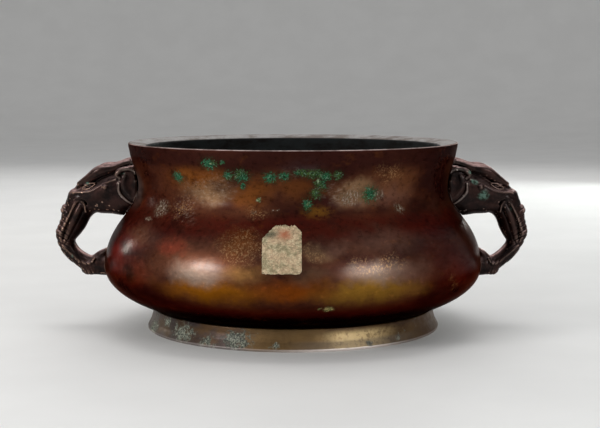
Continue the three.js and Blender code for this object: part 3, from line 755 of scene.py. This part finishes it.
def build_bowl():
    outline = np.vstack([
        bend([(UNDER_R, SPIGOT_Z), (SPIGOT_R, SPIGOT_Z), (SPIGOT_R, FOOT_Z), (SEAT_R, FOOT_Z)], 0.3, 3),
        OUTER[1:], lip_and_inside()[1:],
    ])
    verts, faces = turned(outline, AROUND, close_start=False)
    side = AROUND // 4
    grid = np.linspace(-GRID_HALF, GRID_HALF, side + 1)
    gx, gy = np.meshgrid(grid, grid, indexing="ij")
    sunk = PANEL_DEPTH * smooth(PANEL_HALF - np.maximum(np.abs(gx), np.abs(gy)), 0, PANEL_DEPTH)
    first = len(verts)
    verts = np.vstack([verts, np.stack([gx, gy, SPIGOT_Z + sunk], 2).reshape(-1, 3)])
    index = lambda i, j: first + i * (side + 1) + j
    for i in range(side):
        for j in range(side):
            faces.append([index(i, j), index(i, j + 1), index(i + 1, j + 1), index(i + 1, j)])
    # Rings from the square's edge to the round one. Both begin at -135 degrees.
    start = -3 * AROUND // 8
    turns = 2 * math.pi * (start + np.arange(AROUND)) / AROUND
    round_edge = UNDER_R * np.stack([np.cos(turns), np.sin(turns)], 1)
    previous = [index(i, j) for i, j in border(side, side)]
    square_edge = verts[previous, :2]
    for step in range(1, UNDER_RINGS):
        share = step / UNDER_RINGS
        ring = (1 - share) * square_edge + share * round_edge
        now = list(range(len(verts), len(verts) + AROUND))
        verts = np.vstack([verts, np.column_stack([ring, np.full(AROUND, SPIGOT_Z)])])
        faces += bridge(previous, now)
        previous = now
    faces += bridge(previous, [(start + k) % AROUND for k in range(AROUND)])
    free = (verts[:, 2] > FOOT_Z + 1) & (np.hypot(verts[:, 0], verts[:, 1]) > 60)
    draw_in(verts, rolling(verts, 30, 13, 3), 0.16, free)
    obj = make_object("bowl", verts, faces, bowl_material())
    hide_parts("vessel_body")
    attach(obj, "root")


# The foot ring.

def build_foot():
    outline = bend([
        (67.1, 0.0), (73.9, 0.0), (74.3, 0.9), (72.5, 4.4), (71.6, 7.5), (71.2, FOOT_Z),
        (62.4, FOOT_Z), (62.8, 5.2),
    ], 0.6, 4)
    verts, faces = turned(outline, AROUND, loop=True)
    draw_in(verts, rolling(verts, 18, 7, 7), 0.18, verts[:, 2] > 0.3)
    obj = make_object("foot", verts, faces, foot_material())
    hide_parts("foot_ring")
    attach(obj, "root")


# The handles, from a field of distances on a grid that is then skinned.

# The grid's step and limits. It is the half with Y above 0 of a handle on the right.
STEP = 0.25
X0, X1, Y1, Z0, Z1 = 76.0, 123.0, 15.5, 22.0, 88.5
GX = np.arange(X0, X1, STEP)
GY = np.arange(0, Y1, STEP)
GZ = np.arange(Z0, Z1, STEP)


def spline(values, count):
    """Catmull-Rom through the rows of values."""
    v = np.vstack([2 * values[0] - values[1], values, 2 * values[-1] - values[-2]])
    spans = len(values) - 1
    out = []
    for u in np.linspace(0, spans, count):
        i = min(int(u), spans - 1)
        t = u - i
        a, b, c, d = v[i], v[i + 1], v[i + 2], v[i + 3]
        out.append(0.5 * (2 * b + (c - a) * t + (2 * a - 5 * b + 4 * c - d) * t * t
                          + (3 * b - a - 3 * c + d) * t ** 3))
    return np.array(out)


def swept(stations, power=2.0, steps=90):
    """Distance to a form swept along the line of its stations."""
    line = spline(np.array(stations, float), steps)
    px, pz = np.meshgrid(GX, GZ, indexing="ij")
    points = np.stack([px.ravel(), pz.ravel()], 1)
    best = np.full(len(points), np.inf)
    facts = np.zeros((len(points), 3))
    for s, e in zip(line, line[1:]):
        d = e[:2] - s[:2]
        t = np.clip(((points - s[:2]) @ d) / max(d @ d, 1e-9), 0, 1)
        gap = np.hypot(points[:, 0] - s[0] - t * d[0], points[:, 1] - s[1] - t * d[1])
        closer = gap < best
        best = np.where(closer, gap, best)
        row = s[2:] + t[:, None] * (e[2:] - s[2:])
        facts[closer] = row[closer]
    shape = (len(GX), 1, len(GZ))
    depth = best.reshape(shape)
    half, wide, lean = (facts[:, i].reshape(shape) for i in range(3))
    y = GY[None, :, None]
    norm = ((depth / half) ** power + (np.abs(y - lean) / wide) ** power) ** (1 / power)
    return (norm - 1) * np.minimum(half, wide)


def ball(centre, size, turn=0.0):
    x, y, z = GX[:, None, None] - centre[0], GY[None, :, None] - centre[1], GZ[None, None, :] - centre[2]
    c, s = math.cos(turn), math.sin(turn)
    x, z = c * x + s * z, -s * x + c * z
    norm = ((x / size[0]) ** 2 + (y / size[1]) ** 2 + (z / size[2]) ** 2) ** 0.5
    return (norm - 1) * min(size)


def join(a, b, soft):
    h = np.clip(0.5 + 0.5 * (b - a) / soft, 0, 1)
    return b + (a - b) * h - soft * h * (1 - h)


def cut(a, b, soft):
    return -join(-a, b, soft)


def ramp(value, length):
    return np.clip(value / length, 0, 1)


# How far apart the folds of hide lie, and how deep they are: on the back, and in the curl.
BACK_FOLD, BACK_DEPTH = 2.6, 0.28
CURL_FOLD, CURL_DEPTH = 2.4, 0.18

# The roots stand this far off the wall.
ROOT_GAP = 0.15

# The head's stations: x, z, half depth, half width, y.
HEAD = [
    (76.2, 69.1, 13.0, 11.5, 0), (85.2, 68.7, 12.6, 11.7, 0), (93.2, 68.3, 11.4, 10.7, 0),
    (101.2, 66.7, 9.8, 9.0, 0), (108.2, 63.5, 6.5, 7.4, 0),
]

# Forms that are put on or cut out in turn: how soft the seam is, and the stations. Some add
# how square the form is, and its steps.
SNOUT = [
    (join, 1.5, [
        (101.2, 68.3, 8.6, 8.2, 0), (108.6, 60.3, 7.6, 7.4, 0), (112.0, 52.9, 6.7, 6.6, 0),
        (115.3, 46.5, 5.5, 6.2, 0), (115.4, 41.7, 4.3, 5.9, 0), (112.5, 37.0, 3.9, 5.6, 0),
        (108.1, 33.4, 3.9, 5.4, 0), (103.3, 30.9, 4.5, 5.5, 0), (98.3, 30.7, 5.2, 5.9, 0),
        (90.3, 31.1, 6.0, 6.4, 0),
    ], 2.3, 140),
    (join, 1.4, [
        (102.3, 30.3, 3.0, 4.0, 0), (99.7, 33.7, 3.0, 4.4, 0), (97.1, 36.3, 2.4, 4.2, 0),
        (95.3, 38.1, 1.4, 3.2, 0),
    ], 2.2),
    # The cheek, the dark channel over it, and the cheek's upper edge.
    (join, 1.6, [
        (87.2, 72.3, 3.4, 2.4, 9.8), (94.2, 69.7, 4.0, 3.0, 9.2), (101.2, 67.1, 3.6, 2.8, 7.9),
        (107.6, 65.7, 2.2, 2.2, 6.0),
    ]),
    (cut, 0.9, [
        (84, 80.5, 1.5, 2.4, 12.4), (90, 78.4, 1.9, 2.8, 12.0), (97, 75.4, 2.2, 3.0, 11.2),
        (103.5, 72.0, 2.2, 3.2, 9.8), (109.2, 70.2, 1.3, 3.4, 8.2),
    ]),
    (join, 0.8, [
        (88.6, 75.2, 0.7, 1.0, 11.2), (94.2, 73.0, 0.8, 1.1, 10.7), (101.1, 69.3, 0.8, 1.2, 9.5),
        (105.5, 68.4, 0.9, 1.2, 8.2), (110.4, 68.2, 0.9, 1.4, 6.4),
    ]),
    (join, 0.9, [
        (77.2, 83.7, 1.7, 3.0, 7.0), (83.4, 83.4, 1.8, 3.4, 7.8), (90.0, 80.8, 2.2, 3.8, 8.6),
        (96.8, 79.3, 2.9, 4.2, 8.2), (103.0, 75.2, 2.3, 3.6, 6.8), (107.8, 72.6, 1.3, 2.6, 5.2),
    ], 2.4),
    # Between the brows the forehead dips, with a low ridge down its middle.
    (cut, 1.6, [(80, 86.5, 2.6, 3.4, 3.4), (92, 84.0, 2.6, 3.6, 3.6), (102, 78.2, 2.0, 2.6, 2.9)]),
]

MOUTH = [
    # The tusk in its socket, and the raised edge beside and over it.
    (cut, 0.7, [
        (106.4, 62.2, 2.6, 2.6, 8.3), (109.4, 57.4, 2.7, 2.6, 8.0), (113.2, 49.9, 2.2, 2.2, 7.2),
        (116.0, 43.6, 1.4, 1.6, 6.4),
    ]),
    (join, 0.3, [
        (105.6, 64.4, 1.7, 1.8, 5.9), (108.6, 58.6, 2.05, 2.0, 6.5), (112.4, 50.9, 1.8, 1.75, 6.0),
        (115.0, 45.2, 1.25, 1.2, 5.5), (116.3, 42.4, 0.7, 0.7, 5.2),
    ]),
    (join, 0.7, [
        (104.6, 58.6, 0.55, 0.8, 7.0), (105.2, 61.8, 0.7, 1.0, 7.3), (107.0, 63.9, 0.75, 1.0, 7.2),
        (109.4, 63.4, 0.75, 1.0, 6.9), (111.4, 60.0, 0.75, 1.0, 6.8), (114.4, 54.0, 0.75, 1.0, 6.2),
        (117.2, 48.4, 0.7, 0.9, 5.6), (117.9, 45.4, 0.7, 0.9, 5.2), (117.1, 42.4, 0.6, 0.8, 5.0),
    ], 2.0, 120),
    (join, 0.6, [(104.2, 65.2, 0.5, 0.8, 7.8), (107.4, 66.0, 0.6, 0.9, 7.2), (110.4, 64.6, 0.5, 0.8, 6.8)]),
    # The raised edge of the curl.
    (join, 0.7, [
        (116.6, 41.2, 0.6, 0.9, 5.2), (114.6, 38.8, 0.7, 1.0, 5.3), (111.6, 36.0, 0.75, 1.0, 5.1),
        (107.8, 33.0, 0.75, 1.0, 4.9), (104.6, 31.8, 0.75, 1.0, 5.0), (102.2, 32.6, 0.75, 1.0, 5.1),
        (100.9, 34.4, 0.6, 0.9, 4.9),
    ], 2.0, 100),
]

EAR = [
    # A hollow leaf with a rolled upper edge that ends in a knob.
    (join, 0.6, [
        (77.2, 63.5, 1.6, 1.4, 10.8), (81.2, 68.9, 3.8, 1.8, 11.4), (82.6, 74.3, 4.6, 2.0, 11.7),
        (81.6, 78.7, 3.0, 1.8, 11.2),
    ]),
    (cut, 0.8, [(80.2, 67.6, 1.6, 1.2, 14.0), (81.6, 72.4, 3.0, 1.5, 14.2), (81.4, 77.0, 2.0, 1.3, 13.8)]),
    (join, 0.4, [
        (77.2, 78.3, 1.1, 1.3, 11.8), (81.2, 80.4, 1.3, 1.5, 12.3), (85.4, 80.0, 1.4, 1.6, 12.4),
        (87.8, 77.8, 1.5, 1.6, 12.3), (86.6, 76.0, 1.2, 1.4, 12.0),
    ]),
    (join, 0.5, [
        (87.0, 73.2, 0.8, 1.0, 12.6), (86.9, 69.4, 0.9, 1.1, 12.4), (85.2, 66.7, 0.9, 1.1, 12.0),
        (82.2, 64.0, 0.8, 1.0, 11.4), (79.4, 62.4, 0.6, 0.8, 10.8),
    ]),
]

# Lumps on the trunk's back that break its outline.
LUMPS = [
    ((111.2, 0, 67.2), (2.6, 6.4, 2.2)), ((116.6, 0, 59.0), (1.6, 6.2, 2.4)),
    ((119.0, 0, 47.4), (1.9, 5.4, 2.6)), ((104.4, 0, 27.6), (3.6, 4.6, 2.0)),
]


def put_on(field, forms):
    for put, soft, stations, *more in forms:
        field = put(field, swept(stations, *more), soft)
    return field


def handle_field():
    field = put_on(swept(HEAD, 2.5), SNOUT)
    # The eye in the channel, with its two lids.
    field = join(field, ball((102.6, 8.2, 71.6), (3.0, 1.7, 1.05), 0.33), 0.25)
    for rise in (1.25, -1.25):
        field = put_on(field, [(join, 0.35, [
            (99.4, 72.9 + 0.3 * rise, 0.35, 0.9, 9.2), (102.6, 71.6 + rise, 0.42, 1.0, 9.0),
            (105.9, 70.5 + 0.3 * rise, 0.35, 0.9, 7.8),
        ])])
    field = put_on(field, MOUTH)
    for centre, size in LUMPS:
        field = join(field, ball(centre, size), 1.4)
    # The knob on the cheek.
    field = join(field, ball((94.0, 11.9, 71.2), (1.2, 1.0, 1.2)), 0.8)
    field = put_on(field, EAR)
    # Folds of hide across the trunk's back and under its curl.
    x, y, z = GX[:, None, None], GY[None, :, None], GZ[None, None, :]
    along = 0.86 * (86 - z) + 0.5 * (x - 100)
    back = ramp(x - 112.5, 3) * ramp(66 - z, 3) * ramp(z - 36, 3)
    folds = 0.5 + 0.5 * np.cos(2 * math.pi * along / BACK_FOLD + 0.25 * y)
    field = field + BACK_DEPTH * back * folds ** 3
    under = ramp(36 - z, 3) * ramp(x - 99, 4)
    curl = 0.5 + 0.5 * np.cos(2 * math.pi * (x - 0.5 * z) / CURL_FOLD)
    field = field + CURL_DEPTH * under * curl ** 3
    # The roots are cut to the wall.
    away = np.sqrt(x * x + y * y) - wall_radius(GZ)[None, None, :] - ROOT_GAP
    return np.maximum(field, -away * 0.95)


def skin(field, origin, step):
    """Surface nets: one vertex in each grid cell that the surface crosses."""
    inside = field < 0
    cells = np.zeros(tuple(n - 1 for n in field.shape), np.int8)
    corners = list(np.ndindex(2, 2, 2))
    size = cells.shape
    for dx, dy, dz in corners:
        cells += inside[dx:dx + size[0], dy:dy + size[1], dz:dz + size[2]]
    crossed = (cells > 0) & (cells < 8)
    index = np.full(size, -1, np.int64)
    where = np.argwhere(crossed)
    index[crossed] = np.arange(len(where))
    total = np.zeros((len(where), 3))
    count = np.zeros(len(where))
    for a in corners:
        for axis in range(3):
            if a[axis]:
                continue
            b = list(a)
            b[axis] = 1
            fa = field[where[:, 0] + a[0], where[:, 1] + a[1], where[:, 2] + a[2]]
            fb = field[where[:, 0] + b[0], where[:, 1] + b[1], where[:, 2] + b[2]]
            hit = (fa < 0) != (fb < 0)
            t = np.where(hit, fa / np.where(hit, fa - fb, 1), 0)
            point = np.array(a, float) + t[:, None] * (np.array(b) - np.array(a))
            total += np.where(hit[:, None], point, 0)
            count += hit
    verts = origin + (where + total / count[:, None]) * step
    faces = []
    for axis in range(3):
        u, v = (axis + 1) % 3, (axis + 2) % 3
        low = [slice(None)] * 3
        high = [slice(None)] * 3
        low[axis], high[axis] = slice(0, -1), slice(1, None)
        flips = inside[tuple(low)] != inside[tuple(high)]
        at = np.argwhere(flips)
        for side in (u, v):
            at = at[(at[:, side] > 0) & (at[:, side] < field.shape[side] - 1)]
        quad = []
        for du, dv in ((-1, -1), (0, -1), (0, 0), (-1, 0)):
            cell = at.copy()
            cell[:, u] += du
            cell[:, v] += dv
            quad.append(index[cell[:, 0], cell[:, 1], cell[:, 2]])
        quad = np.stack(quad, 1)
        turn = inside[at[:, 0], at[:, 1], at[:, 2]]
        quad[~turn] = quad[~turn][:, ::-1]
        faces.append(quad)
    return verts, np.concatenate(faces)


def relax(verts, faces, rounds, share):
    """Moves each vertex towards the middle of its neighbours."""
    a = faces.ravel()
    b = np.roll(faces, -1, axis=1).ravel()
    for _ in range(rounds):
        total = np.zeros_like(verts)
        count = np.zeros(len(verts))
        for s, e in ((a, b), (b, a)):
            np.add.at(total, s, verts[e])
            np.add.at(count, s, 1)
        verts = verts + share * (total / count[:, None] - verts)
    return verts


SIDES = (("right", 1), ("left", -1))

# The colour of each handle's ridges, worn metal lightened as a painted highlight, lighter on the left; and
# its green spots: centre and size.
RIDGE_WEAR_AND_GLINT = {"right": rgb(0.30, 0.20, 0.165), "left": rgb(0.40, 0.25, 0.185)}
HANDLE_SPOTS = {
    "right": [((91, -12.5, 75), 2.6), ((95.5, -11.5, 67), 3.6), ((88, -13, 79), 1.6), ((109, -7, 60), 1.4)],
    "left": [((-86, -12, 79), 2.2), ((-103, -9, 73), 1.4), ((-112, -5, 36), 1.2)],
}

# Wear moves a handle's surface by about this much to or from the handle's middle.
WEAR = 0.10
HANDLE_MIDDLE = (102.0, 0, 55.0)


def build_handles():
    half = handle_field()
    field = np.concatenate([half[:, :0:-1], half], axis=1)
    origin = np.array([X0, -GY[-1], Z0])
    verts, faces = skin(field, origin, STEP)
    verts = relax(verts, faces, 3, 0.5)
    for side, turn in SIDES:
        limit = max(abs(corner[0]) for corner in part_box(f"{side}_elephant_handle")) / MM
        placed = verts.copy()
        if side == "right":
            out = smooth(verts[:, 0], NECK_R + 14, NECK_R + 32)
            placed[:, 0] -= RIGHT_DRAW * out * (1 - smooth(verts[:, 2], BELLY_Z + 4.5, BELLY_Z + 26.5))
        placed = placed * np.array([turn, turn, 1.0])
        worn = WEAR * (rolling(placed, 5, 2.2, 11) - 0.75)
        pull = placed - np.array([turn, 1, 1]) * HANDLE_MIDDLE
        placed = placed - worn[:, None] * pull / np.linalg.norm(pull, axis=1)[:, None]
        placed[:, 0] = np.clip(placed[:, 0], -limit, limit)
        material = handle_material(f"{side}_handle_bronze", RIDGE_WEAR_AND_GLINT[side], HANDLE_SPOTS[side])
        obj = make_object(f"{side}_handle", placed, faces, material)
        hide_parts(f"{side}_elephant_handle")
        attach(obj, "root")


# The rivets.

def build_rivets():
    material = rivet_material()
    for side, turn in SIDES:
        for level in ("upper", "lower"):
            name = f"{side}_{level}_rivet"
            low, high = (Vector(c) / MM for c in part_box(name))
            inner, outer = sorted((abs(low.x), abs(high.x)))
            z = (low.z + high.z) / 2
            outline = bend([
                (2.4, outer), (2.4, inner + 2.45), (5.15, inner + 2.4), (5.0, inner + 1.5),
                (3.7, inner + 0.5), (1.5, inner), (0.2, inner),
            ], 0.5, 4)
            verts, faces = turned(outline, 72)
            head = verts[:, 2] < inner + 2.3
            dents = value_noise(verts + 50 * turn + z, 2.2, 5)
            verts[:, 2] += np.where(head, 0.35 * dents, 0)
            verts = np.stack([verts[:, 2] * turn, verts[:, 0] * turn, verts[:, 1] + z], 1)
            obj = make_object(f"{name}_piece", verts, [f[::-1] for f in faces], material)
            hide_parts(name)
            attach(obj, "root")


# The paper label.

LABEL_Z = 39.3
LABEL_HEIGHT = 21.2
LABEL_LEFT, LABEL_RIGHT = -13.6, 4.4
# The corners that are gone.
TOP_LEFT, TOP_RIGHT, LOW_RIGHT = 5.4, 2.6, 1.2


def label_edges(v):
    """Left and right edge in mm at share v of the label's height, a little torn."""
    up, down = v * LABEL_HEIGHT, (1 - v) * LABEL_HEIGHT
    left = LABEL_LEFT + max(0.0, TOP_LEFT - down)
    right = LABEL_RIGHT - max(0.0, TOP_RIGHT - down) - 0.9 * max(0.0, LOW_RIGHT - up)
    places = np.array([[LABEL_Z + up, 0, 0], [LABEL_Z + up, 40, 0]])
    torn = sum(size * value_noise(places, size, 21) for size in (0.55, 0.25))
    tear = 1.0 if v > 0.72 else 0.35
    return left + tear * torn[0], right - 0.5 * tear * torn[1]


def build_label():
    rows, columns = 84, 84
    width = LABEL_RIGHT - LABEL_LEFT
    along = width * np.arange(columns + 1)[:, None] / columns * np.array([1.0, 0, 0])
    low = 0.3 * value_noise(along, 0.7, 22)
    high = 0.7 * value_noise(along, 0.8, 24) + 0.35 * value_noise(along, 0.4, 25)
    sheets = []
    for lift in (0.32, 0.17):
        points = []
        for j in range(rows + 1):
            v = j / rows
            left, right = label_edges(v)
            for i in range(columns + 1):
                u = i / columns
                x = left + (right - left) * u
                z = LABEL_Z + low[i] + (LABEL_HEIGHT - low[i] - high[i]) * v
                # The paper swells a little, and lies closer to the wall at its edges.
                edge = min(u, 1 - u, v, 1 - v)
                swell = value_noise(np.array([[x, 3.0, z]]), 3.2, 23)[0]
                rise = lift + 0.06 * swell - 0.04 * (1 - min(1.0, edge * 14))
                radius = float(wall_radius(z)) + rise
                turn = x / radius
                points.append([radius * math.sin(turn), -radius * math.cos(turn), z])
        sheets.append(points)
    verts = np.array(sheets[0] + sheets[1])
    count = (rows + 1) * (columns + 1)
    faces = []
    at = lambda i, j: j * (columns + 1) + i
    for j in range(rows):
        for i in range(columns):
            quad = [at(i, j), at(i + 1, j), at(i + 1, j + 1), at(i, j + 1)]
            faces.append(quad)
            faces.append([count + q for q in quad[::-1]])
    rim = [at(i, j) for i, j in border(columns, rows)]
    for a, b in zip(rim, rim[1:] + rim[:1]):
        faces.append([b, a, count + a, count + b])
    obj = make_object("label", verts, faces, paper_material())
    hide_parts("paper_label")
    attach(obj, "root")


build_bowl()
build_foot()
build_handles()
build_rivets()
build_label()


# The floor, the light and the camera.

GROUND_GREY = rgb(0.74, 0.735, 0.72)
GROUND_PALE = rgb(0.77, 0.765, 0.75)


def floor_material():
    n = Patina("pale_floor")
    base = n.mix(n.span(n.noise(60, 3, 0.5), 0.3, 0.7), GROUND_GREY, GROUND_PALE)
    n.set(Base_Color=base, Roughness=0.75)
    return n.material


# The floor's reach, the height that it rises to, and the curve between.
GROUND_R, GROUND_RISE, GROUND_CURVE = 2600.0, 1500.0, 900


def build_floor():
    """A flat round floor that curves up, far out, into a low wall: no horizon shows."""
    sweep = bend([(0.5, 0.0), (GROUND_R, 0.0), (GROUND_R, GROUND_RISE)], GROUND_CURVE, 24)
    verts, faces = turned(sweep, 96, close_end=False)
    obj = make_object("floor", verts, [f[::-1] for f in faces], floor_material())


build_floor()

world = bpy.data.worlds.new("studio")
world.use_nodes = True
background = world.node_tree.nodes["Background"]
background.inputs["Color"].default_value = rgb(0.97, 0.98, 1.0)
background.inputs["Strength"].default_value = 0.46
bpy.context.scene.world = world


def softbox(name, place, target, width, height, power, tint=(1, 1, 1)):
    light = bpy.data.lights.new(name, "AREA")
    light.shape = "RECTANGLE"
    light.size, light.size_y = width, height
    light.energy = power
    light.color = tint
    obj = bpy.data.objects.new(name, light)
    obj.location = place
    obj.rotation_euler = (Vector(target) - Vector(place)).to_track_quat("-Z", "Y").to_euler()
    obj.visible_camera = False
    bpy.context.scene.collection.objects.link(obj)


softbox("left_front", (-0.573, -0.446, 0.285), (-0.04, -0.085, 0.042), 0.20, 0.11, 2.45)
softbox("right_front", (0.489, -0.564, 0.270), (0.03, -0.089, 0.040), 0.30, 0.18, 1.5)
softbox("overhead", (0.0, 0.20, 1.20), (0, 0, 0.05), 0.8, 0.6, 3.5)
softbox("behind", (0.0, 1.0, 0.60), (0, 0, 0.09), 1.2, 0.34, 3.5)
softbox("left_behind", (-0.63, 0.354, 0.205), (-0.08, 0, 0.05), 0.05, 0.12, 0.45, (1.0, 0.95, 0.85))
softbox("right_behind", (0.40, 0.86, 0.26), (0.08, 0, 0.06), 0.08, 0.30, 0.8, (0.92, 1.0, 0.96))

bpy.context.scene.view_settings.view_transform = "Standard"

# The camera's place, how far it tips down, and its lens and sensor.
CAMERA_PLACE = (0.00354, -0.69729, 0.128)
CAMERA_TIP = 0.10196
CAMERA_LENS = 82.46
CAMERA_SENSOR = 36

camera = bpy.data.cameras.new("camera")
camera.sensor_width = CAMERA_SENSOR
camera.lens = CAMERA_LENS
camera.clip_start, camera.clip_end = 0.01, 20
shot = bpy.data.objects.new("camera", camera)
shot.location = CAMERA_PLACE
shot.rotation_euler = (math.pi / 2 - CAMERA_TIP, 0, 0)
bpy.context.scene.collection.objects.link(shot)
bpy.context.scene.camera = shot
